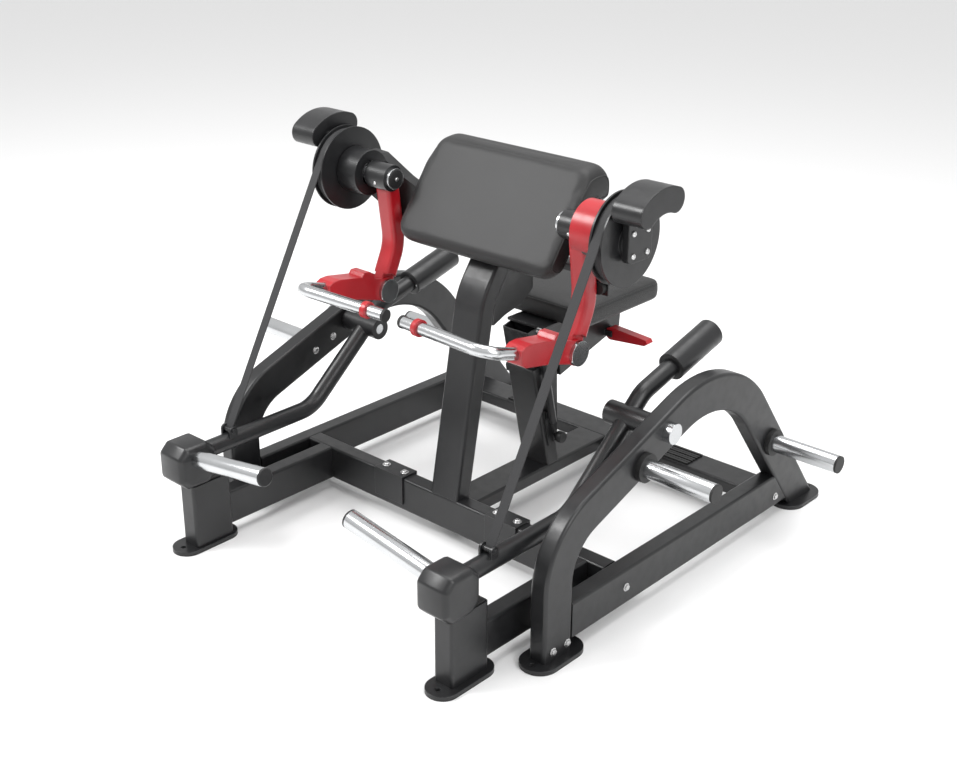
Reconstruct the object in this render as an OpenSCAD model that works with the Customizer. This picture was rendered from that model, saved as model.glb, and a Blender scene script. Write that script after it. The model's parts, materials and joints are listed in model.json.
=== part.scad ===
// Plate-loaded seated arm curl machine: two independent curl arms on a welded tube frame.
// Millimetres, +X to the user's left as seen from the front, +Y towards the seat, +Z up.
// The origin lies on the floor under the centre of the machine.

/* [Base frame] */
// Outer width over the two side frames
frame_w = 1200; // [1150:10:1250]
// Width of the frame tubes
tube_w = 50; // [46:1:52]
// Height of the frame tubes
tube_h = 100; // [96:1:104]
// Wall thickness of the frame tubes
wall = 3; // [2:0.5:5]
// Height of the rails' underside above the floor
rail_z = 37; // [34:1:40]

/* [Arch] */
// Depth of the arch tube in its own plane
arch_d = 102; // [98:1:104]
// Slope of the arch's long upper run
arch_slope = 19.6; // [19:0.1:20.5]
// Centreline radius over the top of the arch
arch_top_r = 312; // [300:2:320]

/* [Pads] */
// Width of the arm pad
pad_w = 540; // [500:5:548]
// Thickness of the arm pad's long limb
pad_t = 60; // [56:1:62]
// Lean of the arm pad from the vertical
pad_lean = 35.6; // [34:0.2:37]
// Width of the seat cushion
seat_w = 340; // [320:5:360]
// Length of the seat cushion
seat_l = 366; // [340:2:370]

/* [Arms] */
// Height of the elbow axis
elbow_z = 947; // [940:1:955]
// Radius of the belt around the cam
belt_r = 105; // [103:1:106]
// Radius of the plate horns
horn_r = 24.5; // [23:0.05:25]
// Reach of the storage horns beyond the side frame
store_l = 205; // [190:5:220]

/* [Hidden] */
$fn = 64;
$slim = 0;
hair = 0.03;
lap = 1;
far = 2000;

half_w = frame_w / 2;
inner_x = half_w - tube_w;
mid_x = half_w - tube_w / 2;
rail_top = rail_z + tube_h;
front_y = -200;
corner_r = 7;

plate_t = 8;
rubber_t = 4;
foot_z = plate_t + rubber_t;
anchor_r = 7;

elbow = [-75, elbow_z];
pivot = [-24, 466];
wrist = [-94, 631];
run_gap = 0.05;
axle_r = 20;
pin_r = 15;

stand_x = 475;
stand_y = [-700, -575];
stand_top = 196;
hub_at = [-684, 261];
hub_size = 120;
hub_x = [442, 527];

pad_face = [-106, 808];
pad_len = 297;
pad_limb = 138;
plate_back = 12;
up_pad = [sin(pad_lean), cos(pad_lean)];
off_pad = [cos(pad_lean), -sin(pad_lean)];

post_w = 100;
post_d = 55;
post_lean = 10.3;

seat_lean = 13;
seat_foot = [212, 107.5];
seat_post_l = 330;
seat_front = 170;
seat_top = 620;
seat_t = 60;

beam_z = 67.5;
beam_h = 40;
rear_y = 455;
rear_d = 100;

belt_w = 28;
belt_t = 3;
cam_x = [458, 496];
belt_x = 477;
clevis = [-545, 307];

black = "#1b1b1d";
red = "#a5161b";
chrome = "#c8ccd0";
rubber = "#0e0e0f";
hide = "#232325";

// ---- helpers -------------------------------------------------------------------------------

// Rectangle with round corners, centred
module round_rect(w, h, r) {
    square([w - 2 * r, h], center = true);
    square([w, h - 2 * r], center = true);
    for (x = [-1, 1], y = [-1, 1])
        translate([x * (w / 2 - r), y * (h / 2 - r)]) circle(r);
}

// Cross-section of a square tube with round corners; $slim thins it a little at a bend
module tube_section(w, h, r = corner_r, t = wall) {
    difference() {
        round_rect(w - 2 * $slim, h - 2 * $slim, r - $slim);
        round_rect(w - 2 * t + 2 * $slim, h - 2 * t + 2 * $slim, r - t + $slim);
    }
}

// Solid sections for bent bars
module bar_section(w, h, r) round_rect(w - 2 * $slim, h - 2 * $slim, r - $slim);

module rod_section(r) circle(r - $slim);

module pipe_section(r, t = wall) difference() {
    circle(r - $slim);
    circle(r - t + $slim);
}

// Puts a shape drawn in (y, z), and raised along x, into the machine
module side_plane(x = 0) translate([x, 0, 0]) rotate([90, 0, 90]) children();

// Mirrors the right-hand part for the left side
module side(s) mirror([s < 0 ? 1 : 0, 0, 0]) children();

module both_sides() {
    children();
    mirror([1, 0, 0]) children();
}

// Cylinder along x between two x values, at a (y, z) place
module rod_x(x0, x1, r, at = [0, 0]) {
    side_plane(x0) translate(at) linear_extrude(x1 - x0) circle(r);
}

function heading(a, b) = atan2(b.y - a.y, b.x - a.x);
function wrap_angle(a) = a > 180 ? a - 360 : a < -180 ? a + 360 : a;
function turn_at(p, i) = wrap_angle(heading(p[i], p[i + 1]) - heading(p[i - 1], p[i]));
function cut_at(p, r, i) =
    i == 0 || i == len(p) - 1 ? 0 : r[i - 1] * tan(abs(turn_at(p, i)) / 2);

// Sweeps a section along a flat path of straight runs and round bends. Each straight run
// reaches a little way into the bend, whose section is a hair slimmer.
module bent_bar(p, r, slimmer = hair) {
    for (i = [0 : len(p) - 2]) {
        lead = i == 0 ? 0 : cut_at(p, r, i) - lap;
        tail = i == len(p) - 2 ? 0 : cut_at(p, r, i + 1) - lap;
        translate(p[i]) rotate(heading(p[i], p[i + 1])) translate([lead, 0, 0])
            rotate([90, 0, 90])
                linear_extrude(norm(p[i + 1] - p[i]) - lead - tail) children();
    }
    for (i = [1 : 1 : len(p) - 2]) {
        turn = turn_at(p, i);
        way = sign(turn);
        $slim = slimmer;
        translate(p[i]) rotate(heading(p[i - 1], p[i]))
            translate([-cut_at(p, r, i), way * r[i - 1], 0])
                rotate(way > 0 ? -90 : 90 - abs(turn)) rotate_extrude(angle = abs(turn))
                    translate([r[i - 1], 0]) children();
    }
}

// ---- base frame ----------------------------------------------------------------------------

leg_front_y = -432;
leg_slope = -52;
leg_at = [531, 205];
arch_knee = [leg_front_y, 393 + (leg_front_y + 211) * tan(arch_slope)];
arch_crown_y = (leg_at.y - leg_at.x * tan(leg_slope) - arch_knee.y
    + leg_front_y * tan(arch_slope)) / (tan(arch_slope) - tan(leg_slope));
arch_crown = [arch_crown_y, arch_knee.y + (arch_crown_y - leg_front_y) * tan(arch_slope)];
arch_heel_y = leg_at.x + (-60 - leg_at.y) / tan(leg_slope);
arch_path = [[leg_front_y, foot_z], arch_knee, arch_crown, [arch_heel_y, -60]];

module rear_leg_space()
    translate([leg_at.x, leg_at.y]) rotate(leg_slope)
        translate([-far, -arch_d / 2]) square([2 * far, arch_d + far]);

module side_rails() color(black) both_sides()
    difference() {
        translate([mid_x, leg_front_y + arch_d / 2, rail_z + tube_h / 2]) rotate([-90, 0, 0])
            linear_extrude(1050) tube_section(tube_w, tube_h);
        side_plane(inner_x - 1) linear_extrude(tube_w + 2) rear_leg_space();
    }

module cross_tube(y0, d, z0, h) color(black)
    translate([-inner_x, y0 + d / 2, z0 + h / 2]) rotate([90, 0, 90])
        linear_extrude(2 * inner_x) tube_section(d, h);

module front_cross_tube() cross_tube(front_y, tube_w, rail_z, tube_h);

module rear_cross_tube() cross_tube(rear_y, rear_d, beam_z, beam_h);

module center_beam() color(black)
    translate([0, front_y + tube_w, beam_z + beam_h / 2]) rotate([-90, 0, 0])
        linear_extrude(rear_y - front_y - tube_w) tube_section(post_w, beam_h);

module front_stands() color(black) both_sides() {
    translate([stand_x, (stand_y[0] + stand_y[1]) / 2, foot_z])
        linear_extrude(stand_top - foot_z) tube_section(60, stand_y[1] - stand_y[0], 9);
    translate([stand_x, stand_y[1], rail_z + tube_h / 2]) rotate([-90, 0, 0])
        linear_extrude(front_y - stand_y[1]) tube_section(tube_w, tube_h);
}

module arch(s) color(black) side(s)
    difference() {
        side_plane(mid_x) bent_bar(arch_path, [171, arch_top_r])
            tube_section(arch_d, tube_w, 9);
        translate([inner_x - 1, -far / 2, foot_z - 200]) cube([tube_w + 2, far, 200]);
        rod_x(inner_x - 1, half_w + 1, pin_r + run_gap, pivot);
    }

// Outline of a foot plate: two round lobes joined by a straight strip
module foot_shape(x, y0, y1, w) {
    for (y = [y0 + w / 2, y1 - w / 2]) translate([x, y]) circle(w / 2);
    translate([x - w / 2, y0 + w / 2]) square([w, y1 - y0 - w]);
}

feet = [[480, -748, -548, 86], [576, -522, -334, 100], [580, 596, 772, 100]];
anchors = [[480, -722], [576, -500], [580, 757]];

module foot_layer(z, t, hole) both_sides()
    for (i = [0 : 2])
        translate([0, 0, z]) linear_extrude(t) difference() {
            foot_shape(feet[i][0], feet[i][1], feet[i][2], feet[i][3]);
            translate(anchors[i]) circle(hole);
        }

module foot_plates() color(black) foot_layer(rubber_t, plate_t, anchor_r);

module rubber_pads() color(rubber) foot_layer(0, rubber_t, anchor_r + 3);

saddle_x = 210;
saddle_w = 110;
saddle_t = 5;

module splice_brackets() color(black) both_sides()
    translate([saddle_x - saddle_w / 2, 0, 0]) side_plane() linear_extrude(saddle_w) {
        translate([front_y - saddle_t, rail_top])
            square([tube_w + 2 * saddle_t, saddle_t]);
        for (y = [front_y - saddle_t, front_y + tube_w])
            translate([y, rail_z + 20]) square([saddle_t, tube_h - 20]);
    }

grip_x = 285;
grip_w = 120;

module footrest_grips() color(rubber) both_sides()
    for (i = [0 : 6])
        translate([grip_x - grip_w / 2, rear_y + 8 + i * 12, beam_z + beam_h])
            cube([grip_w, 8, i % 2 == 0 ? 5 : 4]);

// ---- main post and arm pad -----------------------------------------------------------------

post_face = pad_face + (pad_t + plate_back) * off_pad;
post_bend_z = (front_y - post_face.x - rail_top * tan(post_lean)
    + post_face.y * tan(pad_lean)) / (tan(pad_lean) - tan(post_lean));
post_bend = [front_y + (post_bend_z - rail_top) * tan(post_lean), post_bend_z];
half_bend = (pad_lean - post_lean) / 2;
post_shift = post_d / 2 / cos(half_bend)
    * [cos(post_lean + half_bend), -sin(post_lean + half_bend)];
post_mid = post_bend + post_shift;
post_foot = [post_mid.x - (post_mid.y - 60) * tan(post_lean), 60];
post_path = [post_foot, post_mid, post_mid + 215 * up_pad];

module main_post() color(black)
    difference() {
        side_plane() bent_bar(post_path, [180]) tube_section(post_d, post_w, 9);
        translate([-far / 2, -far / 2, rail_top - 200]) cube([far, far, 200]);
    }

module pad_plate() color(black)
    translate([0, pad_face.x, pad_face.y]) rotate([-pad_lean, 0, 0])
        translate([-200, pad_t, 25]) cube([400, plate_back, 205]);

pad_round = 22;
limb_y = [90, pad_limb];
limb_low = 948;

// Side outline of the arm pad: a long sloping limb that hooks over into a short back limb
module pad_outline() {
    top = pad_face + (pad_len - pad_round) * up_pad;
    back_root = [limb_y[0], pad_face.y - pad_t * sin(pad_lean)
        + (limb_y[0] - pad_face.x - pad_t * cos(pad_lean)) / tan(pad_lean)];
    polygon([
        pad_face + pad_round * off_pad,
        pad_face + pad_round * up_pad,
        top,
        top + pad_round * off_pad + pad_round * up_pad,
        [limb_y[1] - pad_round, top.y + pad_round * 0.7],
        [limb_y[1], top.y - pad_round],
        [limb_y[1], limb_low + 12],
        [limb_y[1] - 12, limb_low],
        [limb_y[0] + 12, limb_low],
        [limb_y[0], limb_low + 12],
        back_root,
        pad_face + pad_t * off_pad + pad_round * up_pad,
        pad_face + (pad_t - pad_round) * off_pad
    ]);
}

module arm_pad() color(hide)
    side_plane(-pad_w / 2) linear_extrude(pad_w) pad_outline();

// ---- yokes that carry the elbow bearings -----------------------------------------------------

house_x = [384, 454];
house_r = 62;
bearing_r = 34;

module yoke(s) color(black) side(s) {
    difference() {
        union() {
            rod_x(house_x[0], house_x[1], house_r, elbow);
            intersection() {
                linear_extrude(1200) polygon([
                    [430, -40], [430, -12], [300, 66], [0, 66], [0, 36], [290, 36], [392, -24]
                ]);
                translate([0, 400, 0]) rotate([90, 0, 0]) linear_extrude(800) polygon([
                    [448, 1002], [400, 988], [340, 926], [300, 892], [250, 876], [40, 870],
                    [40, 838], [235, 842], [262, 760], [300, 742], [340, 778], [400, 848],
                    [448, 888]
                ]);
            }
        }
        rod_x(house_x[0] - 1, house_x[1] + 1, bearing_r, elbow);
        rod_x(250, house_x[0], 44, elbow);
        main_post_space();
    }
    stop_bar();
}

module main_post_space() translate([-post_w / 2, -far / 2, 0]) cube([post_w, far, far]);

// Bar that carries the stop bumper of the curl arm
module stop_bar() {
    translate([post_w / 2, -4, 798]) cube([328, 30, 18]);
    translate([342, -4, 760]) cube([40, 8, 50]);
}

module pivot_bearings() color(chrome) both_sides() {
    for (x = [house_x[0] + 4, house_x[1] - 22])
        difference() {
            rod_x(x, x + 18, bearing_r, elbow);
            rod_x(x - 1, x + 19, axle_r + run_gap, elbow);
        }
}

bumper_y = [-19.5, -4];

module rubber_bumpers() color(rubber) both_sides() {
    translate([362, bumper_y[0], 780]) rotate([-90, 0, 0])
        cylinder(r = 16, h = bumper_y[1] - bumper_y[0]);
    translate([stand_x - 26, -692, stand_top]) cube([52, 108, 4.7]);
}

guard_x = 366;
guard_r = 71;

module right_pivot_guard() color(red)
    difference() {
        rod_x(guard_x, house_x[1] - 2, guard_r, elbow + [0, 5]);
        rod_x(guard_x - 1, house_x[0] + 1, sleeve_r + 1, elbow);
        rod_x(house_x[0] - 0.1, house_x[1], house_r + 0.1, elbow);
        translate([guard_x - 1, -far / 2, 0]) cube([100, far, elbow_z - 36]);
        translate([guard_x - 1, elbow.x + 33, 0]) cube([100, far, far]);
    }

// ---- storage horns ---------------------------------------------------------------------------

store_at = [[-120, 405], [484, 259]];
collar_t = 14;
cap_t = 6;

module storage_horns() color(chrome) both_sides()
    for (p = store_at) rod_x(half_w + collar_t, half_w + store_l, horn_r, p);

module horn_fittings() color(rubber) both_sides()
    for (p = store_at) {
        rod_x(half_w, half_w + collar_t, 37.5, p);
        rod_x(half_w + store_l, half_w + store_l + cap_t, horn_r - 0.4, p);
    }

// ---- seat ------------------------------------------------------------------------------------

// Places a shape in the seat post's own frame: z runs up along the post
module on_seat_post() translate([0, seat_foot.x, seat_foot.y]) rotate([seat_lean, 0, 0]) children();

module seat_post() color(black) {
    difference() {
        on_seat_post() translate([0, 0, -40]) linear_extrude(seat_post_l + 40)
            tube_section(post_w, 50);
        translate([-far / 2, -far / 2, beam_z + beam_h - 200]) cube([far, far, 200]);
    }
    on_seat_post() for (y = [-14, 10]) translate([post_w / 2, y, 70]) cube([5, 8, 120]);
    side_plane(-post_w / 2) linear_extrude(post_w)
        polygon([[219.5, 181], [226, 181], [217, 395], [170, 395]]);
}

strut_x = 68;

module gas_strut_body() color(black) on_seat_post() {
    difference() {
        translate([strut_x, 4, 150]) cylinder(r = 11, h = 200);
        translate([strut_x, 4, 180]) cylinder(r = 5 + run_gap, h = 200);
    }
    translate([post_w / 2, -5.5, 160]) cube([8, 15, 24]);
}

module gas_strut_rod() color(chrome) on_seat_post()
    translate([strut_x, 4, 260]) cylinder(r = 5, h = 196);

module seat_carriage() color(black) on_seat_post()
    translate([0, 0, 130]) linear_extrude(321) tube_section(93.8, 43.8, 4, 4);

bracket_t = 6;
lever_pin = [73, 453];
lever_y = 432;
lever_w = 28;
lever_root_r = 19;
ear_t = 3.6;

module bracket_outline() polygon([
    [228, 380], [498, 455], [505, 552], [128, 552], [144, 470], [216, 470]
]);

module seat_bracket() color(black) {
    for (x = [46.9, -46.9 - bracket_t])
        side_plane(x) linear_extrude(bracket_t) bracket_outline();
    translate([-53, 118, 552]) cube([130, 390, 8]);
    side_plane(-47) linear_extrude(94) polygon([
        [228, 380], [498, 455], [498, 462], [234, 389], [228, 470], [221, 470]
    ]);
    for (y = [lever_y - ear_t - 0.4, lever_y + lever_w + 0.4])
        translate([52, y, lever_pin.y - 9]) cube([27, ear_t, 18]);
    translate([lever_pin.x, lever_y - ear_t - 0.4, lever_pin.y]) rotate([-90, 0, 0])
        cylinder(r = 4, h = lever_w + 2 * ear_t + 0.8);
}

module seat_pad() color(hide)
    translate([0, seat_front + seat_l / 2, seat_top - seat_t]) linear_extrude(seat_t)
        round_rect(seat_w, seat_l, 35);

module seat_lever() color(red)
    translate([lever_pin.x, lever_y + lever_w, lever_pin.y]) rotate([90, 0, 0])
        linear_extrude(lever_w) difference() {
            union() {
                circle(lever_root_r);
                polygon([[0, -19], [120, -7], [130, 1], [124, 11], [0, 19]]);
            }
            circle(4 + run_gap);
        }

// ---- curl arms -------------------------------------------------------------------------------

sleeve_x = [300, 374];
sleeve_r = 36;

module axle(s) color(chrome) side(s) {
    rod_x(sleeve_x[0], 505, axle_r, elbow);
    rod_x(289, sleeve_x[0], 29, elbow);
}

module hub_sleeve(s) color(black) side(s)
    difference() {
        rod_x(sleeve_x[0], sleeve_x[1], sleeve_r, elbow);
        rod_x(sleeve_x[0] - 1, sleeve_x[1] + 1, axle_r, elbow);
    }

arm_x = [310, 364];
tongue_x = [322, 352];
arm_path = [[-64, 940], [-39, 752], wrist];

module arm(s) color(red) side(s)
    difference() {
        union() {
            side_plane((arm_x[0] + arm_x[1]) / 2) bent_bar(arm_path, [130])
                bar_section(46, arm_x[1] - arm_x[0], 11);
            rod_x(tongue_x[0], tongue_x[1], 28, wrist);
        }
        rod_x(arm_x[0] - 1, arm_x[1] + 1, sleeve_r, elbow);
        rod_x(arm_x[0] - 1, arm_x[1] + 1, 9, wrist);
        rod_x(arm_x[0] - 1, tongue_x[0], 46, wrist);
        rod_x(tongue_x[1], arm_x[1] + 1, 46, wrist);
    }

flange_t = 5;
groove_r = belt_r - belt_t / 2;

module cam(s) color(black) side(s)
    difference() {
        union() {
            rod_x(cam_x[0], cam_x[0] + flange_t, groove_r + 11, elbow);
            rod_x(cam_x[0] + flange_t, cam_x[1] - flange_t, groove_r, elbow);
            rod_x(cam_x[1] - flange_t, cam_x[1], groove_r + 11, elbow);
            rod_x(cam_x[1], 505, 48, elbow);
        }
        rod_x(cam_x[0] - 1, 506, axle_r, elbow);
    }

weight_mid = [-75, 953];
weight_r = 110;
weight_half = 31;
weight_span = 29;
weight_turn = 8.7;
weight_x = [508, 592];

// Kidney outline of the counterweight
module kidney() translate(weight_mid) rotate(weight_turn) {
    intersection() {
        difference() {
            circle(weight_r + weight_half);
            circle(weight_r - weight_half);
        }
        polygon([[0, 0], 300 * [-sin(weight_span), cos(weight_span)],
            300 * [sin(weight_span), cos(weight_span)]]);
    }
    for (a = [-1, 1])
        translate(weight_r * [a * sin(weight_span), cos(weight_span)]) circle(weight_half);
}

module counterweight(s) color(black) side(s) {
    side_plane(weight_x[0]) linear_extrude(weight_x[1] - weight_x[0]) kidney();
    side_plane(505) linear_extrude(18) {
        translate(elbow) round_rect(92, 92, 16);
        translate([elbow.x - 46, elbow.y]) square([92, 100]);
    }
}

bolt_grid = 27.5;

module cam_bolts(s) color(chrome) side(s)
    for (y = [-1, 1], z = [-1, 1])
        rod_x(523, 530, 8, elbow + bolt_grid * [y, z]);

// ---- handles -----------------------------------------------------------------------------------

cheek_x = [[310, 321.7], [352.3, 364]];
carrier_x = 337;
carrier_front = -306;
grip_r = 16;
grip_tilt = 17;
grip_at = [-404, 714];
grip_path = [[carrier_x, 112], [carrier_x, 0], [36, 33]];

// Places a flat shape in the tilted plane of the handle tube
module on_grip() translate([0, grip_at.x, grip_at.y]) rotate([-grip_tilt, 0, 0]) children();

// Side outline of the handle carrier: round at the wrist, narrower at the front
module carrier_outline() {
    translate(wrist) circle(34);
    polygon([
        wrist + [-8, 33], [-190, 692], [-268, 705], [-292, 704], [carrier_front, 697],
        [carrier_front, 660], [-292, 650], [-210, 634], wrist + [8, -33]
    ]);
    polygon([[-190, 690], [-180, 702], [-160, 701], [-142, 690], [-140, 674]]);
}

module handle_carrier(s) color(red) side(s) {
    difference() {
        side_plane(cheek_x[0][0]) linear_extrude(cheek_x[1][1] - cheek_x[0][0])
            carrier_outline();
        side_plane(cheek_x[0][1]) linear_extrude(cheek_x[1][0] - cheek_x[0][1])
            translate(wrist) circle(52);
        rod_x(300, 370, 9, wrist);
        on_grip() translate([carrier_x, 60, 0]) rotate([-90, 0, 0]) cylinder(r = grip_r, h = 52);
    }
    grip_ring();
}

ring_at = grip_path[2] + 56 / (carrier_x - 36) * (grip_path[1] - grip_path[2]);

module grip_ring() on_grip() translate(ring_at) rotate(heading(grip_path[2], grip_path[1]))
    rotate([0, 90, 0]) difference() {
        translate([0, 0, -8]) cylinder(r = grip_r + 6, h = 16);
        translate([0, 0, -9]) cylinder(r = grip_r + run_gap, h = 18);
    }

module handle_tube(s) color(chrome) side(s)
    on_grip() bent_bar(grip_path, [48], 0.2) rod_section(grip_r);

module handle_cap(s) color(rubber) side(s)
    on_grip() translate(grip_path[2]) rotate(heading(grip_path[1], grip_path[2]))
        rotate([0, 90, 0]) cylinder(r = grip_r + 1, h = 8);

module wrist_discs(s) color(chrome) side(s) {
    rod_x(300, 310, 33, wrist);
    rod_x(364, 374, 33, wrist);
    rod_x(310, 364, 9, wrist);
}

// ---- weight arms -------------------------------------------------------------------------------

tube_r = 24;
sleeve_end = [418, inner_x - 1];
arm_run = [pivot, [-250, 276], [hub_at.x, 274]];
balance_run = [pivot, [34, 515], [164, 550]];
balance_tilt = 15;

module weight_arm(s) color(black) side(s)
    difference() {
        union() {
            rod_x(sleeve_end[0], sleeve_end[1], 31, pivot);
            side_plane(stand_x) bent_bar(arm_run, [110]) rod_section(tube_r);
            side_plane(stand_x) bent_bar(balance_run, [90]) rod_section(tube_r);
            rod_x(stand_x - 24, stand_x + 24, 7, clevis);
            for (x = [stand_x - 20, stand_x + 14])
                side_plane(x) linear_extrude(6) translate(clevis) {
                    circle(13);
                    translate([-13, -25]) square([26, 25]);
                }
        }
        rod_x(sleeve_end[0] - 1, sleeve_end[1] + 1, pin_r + run_gap, pivot);
        hub_space();
    }

module hub_outline() translate(hub_at) intersection() {
    round_rect(hub_size, hub_size, 12);
    rotate(45) round_rect(hub_size * 1.12, hub_size * 1.12, 12);
}

module hub_space() side_plane(hub_x[0]) linear_extrude(hub_x[1] - hub_x[0]) hub_outline();

module weight_hub(s) color(black) side(s) {
    hub_space();
    horn_collar();
}

horn_tilt = 9;
horn_base = [hub_x[0], hub_at.x, 279];

// Places a shape along the horn's axis, which points inwards and slightly up
module on_horn() translate(horn_base) rotate([0, -90 + horn_tilt, 0]) children();

module horn_collar() on_horn() translate([0, 0, -6]) cylinder(r = 31, h = 14);

module weight_horn(s) color(chrome) side(s)
    on_horn() translate([0, 0, 8]) cylinder(r = horn_r, h = 279);

module counterbalance(s) color(black) side(s)
    difference() {
        translate([stand_x, 156, 547.9]) rotate([-90 + balance_tilt, 0, 0])
            cylinder(r = 38, h = 180);
        side_plane(stand_x) bent_bar(balance_run, [90]) rod_section(tube_r);
    }

module arch_pivot_pins() color(chrome) both_sides() {
    rod_x(420, half_w, pin_r, pivot);
    rod_x(half_w, half_w + 22, 27, pivot);
}

// ---- belts -------------------------------------------------------------------------------------

reach = norm(elbow - clevis);
belt_aim = heading(clevis, elbow) + asin(belt_r / reach);
belt_len = sqrt(reach * reach - belt_r * belt_r);
belt_start = elbow + belt_r * [-sin(belt_aim), cos(belt_aim)];

module belt(s) color(rubber) side(s)
    side_plane(belt_x - belt_w / 2) translate(belt_start) rotate(belt_aim + 180)
        translate([0, -belt_t / 2]) linear_extrude(belt_w) square([belt_len - 16, belt_t]);

// ---- fasteners ---------------------------------------------------------------------------------

bolt_head = 8;
outer_bolts = [[-452, 36], [-399, 36], [-168, 87], [533, 70]];
inner_bolts = [[-91, 429], [-159, 404]];

module frame_bolts() color(chrome) both_sides() {
    for (p = outer_bolts) rod_x(half_w, half_w + 6, bolt_head, p);
    for (p = inner_bolts) rod_x(inner_x - 6, inner_x, bolt_head, p);
    for (x = [saddle_x - 36, saddle_x + 36])
        translate([x, front_y + tube_w / 2, rail_top + saddle_t])
            cylinder(r = bolt_head, h = 6);
    translate([saddle_x - 36, front_y + tube_w / 2, rail_z - 22]) cylinder(r = bolt_head, h = 22);
}

// Moves the design so that its box is centred on the origin
module place() translate([0, -12, 0]) children();

place() side_rails();
place() front_cross_tube();
place() rear_cross_tube();
place() center_beam();
place() front_stands();
place() arch(-1);  // left_arch
place() arch(1);  // right_arch
place() foot_plates();
place() rubber_pads();
place() splice_brackets();
place() footrest_grips();
place() main_post();
place() pad_plate();
place() arm_pad();
place() yoke(-1);  // left_yoke
place() yoke(1);  // right_yoke
place() pivot_bearings();
place() rubber_bumpers();
place() storage_horns();
place() horn_fittings();
place() seat_post();
place() gas_strut_body();
place() frame_bolts();
place() arch_pivot_pins();
place() right_pivot_guard();
place() seat_carriage();
place() seat_bracket();
place() seat_pad();
place() gas_strut_rod();
place() seat_lever();
place() axle(-1);  // left_axle
place() hub_sleeve(-1);  // left_hub_sleeve
place() arm(-1);  // left_arm
place() cam(-1);  // left_cam
place() counterweight(-1);  // left_counterweight
place() cam_bolts(-1);  // left_cam_bolts
place() axle(1);  // right_axle
place() hub_sleeve(1);  // right_hub_sleeve
place() arm(1);  // right_arm
place() cam(1);  // right_cam
place() counterweight(1);  // right_counterweight
place() cam_bolts(1);  // right_cam_bolts
place() handle_carrier(-1);  // left_handle_carrier
place() handle_tube(-1);  // left_handle_tube
place() handle_cap(-1);  // left_handle_cap
place() wrist_discs(-1);  // left_wrist_discs
place() handle_carrier(1);  // right_handle_carrier
place() handle_tube(1);  // right_handle_tube
place() handle_cap(1);  // right_handle_cap
place() wrist_discs(1);  // right_wrist_discs
place() weight_arm(-1);  // left_weight_arm
place() weight_hub(-1);  // left_weight_hub
place() weight_horn(-1);  // left_weight_horn
place() counterbalance(-1);  // left_counterbalance
place() weight_arm(1);  // right_weight_arm
place() weight_hub(1);  // right_weight_hub
place() weight_horn(1);  // right_weight_horn
place() counterbalance(1);  // right_counterbalance
place() belt(-1);  // left_belt
place() belt(1);  // right_belt
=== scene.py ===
import json
import math

import bmesh
import bpy
from mathutils import Matrix, Vector
from mathutils.bvhtree import BVHTree


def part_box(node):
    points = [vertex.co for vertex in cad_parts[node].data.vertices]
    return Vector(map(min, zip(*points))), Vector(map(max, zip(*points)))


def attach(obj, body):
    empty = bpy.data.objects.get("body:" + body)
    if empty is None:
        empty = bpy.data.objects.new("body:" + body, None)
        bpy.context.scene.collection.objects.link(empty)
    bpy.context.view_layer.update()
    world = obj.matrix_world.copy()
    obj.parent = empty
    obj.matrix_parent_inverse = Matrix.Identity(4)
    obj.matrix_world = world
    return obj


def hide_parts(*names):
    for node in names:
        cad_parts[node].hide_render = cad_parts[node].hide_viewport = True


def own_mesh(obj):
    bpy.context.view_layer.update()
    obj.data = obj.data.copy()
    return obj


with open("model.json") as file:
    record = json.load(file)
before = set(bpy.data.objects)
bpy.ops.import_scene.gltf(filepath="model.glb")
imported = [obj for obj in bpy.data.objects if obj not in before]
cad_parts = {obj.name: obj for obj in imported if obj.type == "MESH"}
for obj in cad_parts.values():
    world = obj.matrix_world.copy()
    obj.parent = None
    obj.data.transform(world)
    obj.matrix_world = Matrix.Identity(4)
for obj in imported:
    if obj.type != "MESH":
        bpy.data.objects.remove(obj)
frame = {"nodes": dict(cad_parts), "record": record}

scene = bpy.context.scene
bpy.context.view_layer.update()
NODES = frame["nodes"]
SIDES = (("left", -1), ("right", 1))
MM = 0.001


# ---- materials -----------------------------------------------------------------------------------

def node(tree, kind, **sockets):
    made = tree.nodes.new(kind)
    for key, value in sockets.items():
        made.inputs[key.replace("_", " ")].default_value = value
    return made


def ramp(tree, source, low, high, low_value, high_value):
    made = tree.nodes.new("ShaderNodeMapRange")
    made.inputs["From Min"].default_value = low
    made.inputs["From Max"].default_value = high
    made.inputs["To Min"].default_value = low_value
    made.inputs["To Max"].default_value = high_value
    tree.links.new(source, made.inputs["Value"])
    return made.outputs["Result"]


def noise(tree, coords, scale, detail=2.0, stretch=None):
    made = node(tree, "ShaderNodeTexNoise", Scale=scale, Detail=detail)
    if stretch:
        mapping = node(tree, "ShaderNodeMapping", Scale=stretch)
        tree.links.new(coords, mapping.inputs["Vector"])
        coords = mapping.outputs["Vector"]
    tree.links.new(coords, made.inputs["Vector"])
    return made.outputs["Fac"]


def mix(tree, factor, a, b):
    made = tree.nodes.new("ShaderNodeMix")
    made.data_type = "RGBA"
    tree.links.new(factor, made.inputs["Factor"])
    for socket, value in ((made.inputs["A"], a), (made.inputs["B"], b)):
        if isinstance(value, tuple):
            socket.default_value = (*value, 1)
        else:
            tree.links.new(value, socket)
    return made.outputs["Result"]


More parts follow.
